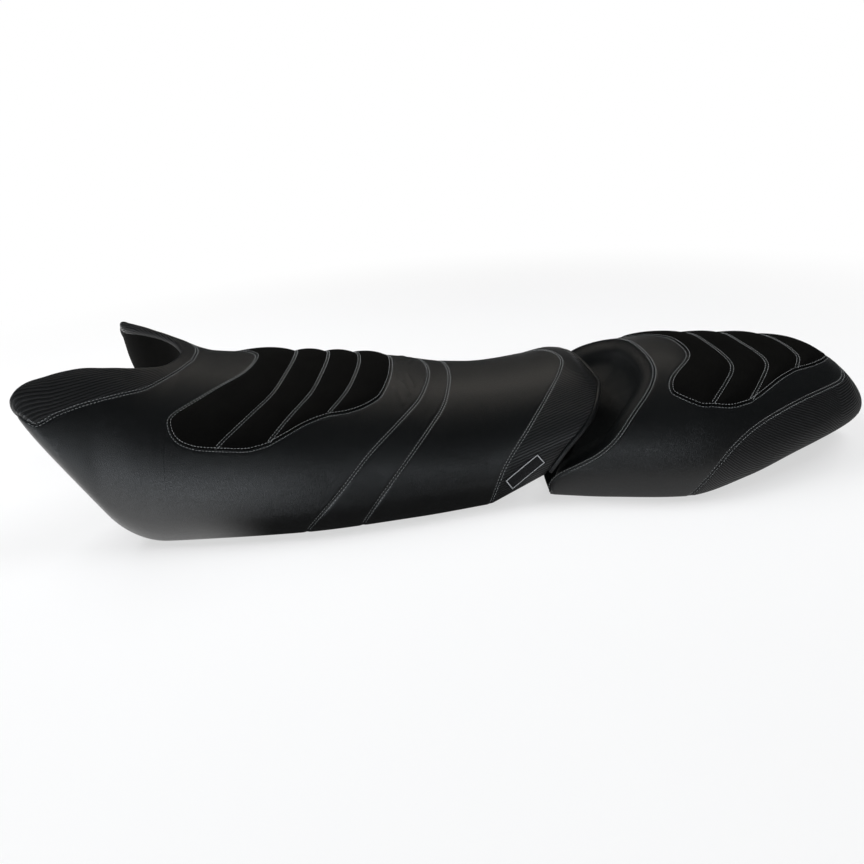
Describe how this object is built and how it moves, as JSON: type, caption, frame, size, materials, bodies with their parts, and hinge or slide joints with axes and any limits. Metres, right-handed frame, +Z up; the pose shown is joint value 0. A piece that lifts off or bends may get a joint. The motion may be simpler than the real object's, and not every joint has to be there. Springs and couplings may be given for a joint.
{
  "type": "two piece saddle seat",
  "caption": "Two piece black saddle seat: a horned driver seat with quilted grip pad and a draw-off passenger seat whose cupped front takes the driver seat's bolster.",
  "frame": {"origin": "middle of the whole seat's box, on the plane of the rubber feet", "axes": "+X rearward, -Y the near side in the picture, +Z up"},
  "size_m": [1.328, 0.4704, 0.2585],
  "materials": {
    "vinyl": "smooth black marine vinyl, soft sheen",
    "ribbed_vinyl": "black vinyl with fine embossed ribs",
    "suede": "matt black grip fabric, quilted",
    "foam": "moulded foam, hidden",
    "pan": "moulded black plastic",
    "steel": "zinc plated steel",
    "rubber": "matt black rubber",
    "tag": "woven tag, bare, with a light border"
  },
  "bodies": {
    "driver_seat": {"front_pan": "pan", "front_foam": "foam", "front_nose_panel": "ribbed_vinyl", "front_notch_panel": "vinyl", "front_main_panel": "vinyl", "front_band_panel": "vinyl", "front_saddle_panel": "vinyl", "front_bolster_panel": "ribbed_vinyl", "front_end_panel": "vinyl", "front_piping": "vinyl", "front_pad_1": "suede", "front_pad_2": "suede", "front_pad_3": "suede", "front_pad_4": "suede", "sewn_tag": "tag", "front_staples": "steel", "front_feet": "rubber", "front_tongue": "steel", "front_latch_bracket": "steel", "front_latch_pin": "steel", "front_bolts": "steel", "front_keeper": "pan"},
    "driver_latch": {"front_latch_lever": "steel"},
    "passenger_seat": {"rear_pan": "pan", "rear_foam": "foam", "rear_cup_panel": "vinyl", "rear_main_panel": "vinyl", "rear_tail_panel": "ribbed_vinyl", "rear_pad_1": "suede", "rear_pad_2": "suede", "rear_pad_3": "suede", "rear_pad_4": "suede", "rear_staples": "steel", "rear_feet": "rubber", "rear_tongue": "steel", "rear_latch_bracket": "steel", "rear_latch_pin": "steel", "rear_bolts": "steel"},
    "passenger_latch": {"rear_latch_lever": "steel"}
  },
  "joints": [
    {"name": "passenger_seat_draw", "type": "slide", "parent": "driver_seat", "child": "passenger_seat", "axis": [1, 0, 0], "range_m": [0, 0.25]},
    {"name": "driver_latch_hinge", "type": "hinge", "parent": "driver_seat", "child": "driver_latch", "pos_m": [-0.188, 0, 0.0254], "axis": [0, -1, 0], "range_deg": [0, 18], "stiffness_Nm_per_rad": 0.6},
    {"name": "passenger_latch_hinge", "type": "hinge", "parent": "passenger_seat", "child": "passenger_latch", "pos_m": [0.292, 0, 0.0254], "axis": [0, -1, 0], "range_deg": [0, 18], "stiffness_Nm_per_rad": 0.6}
  ]
}
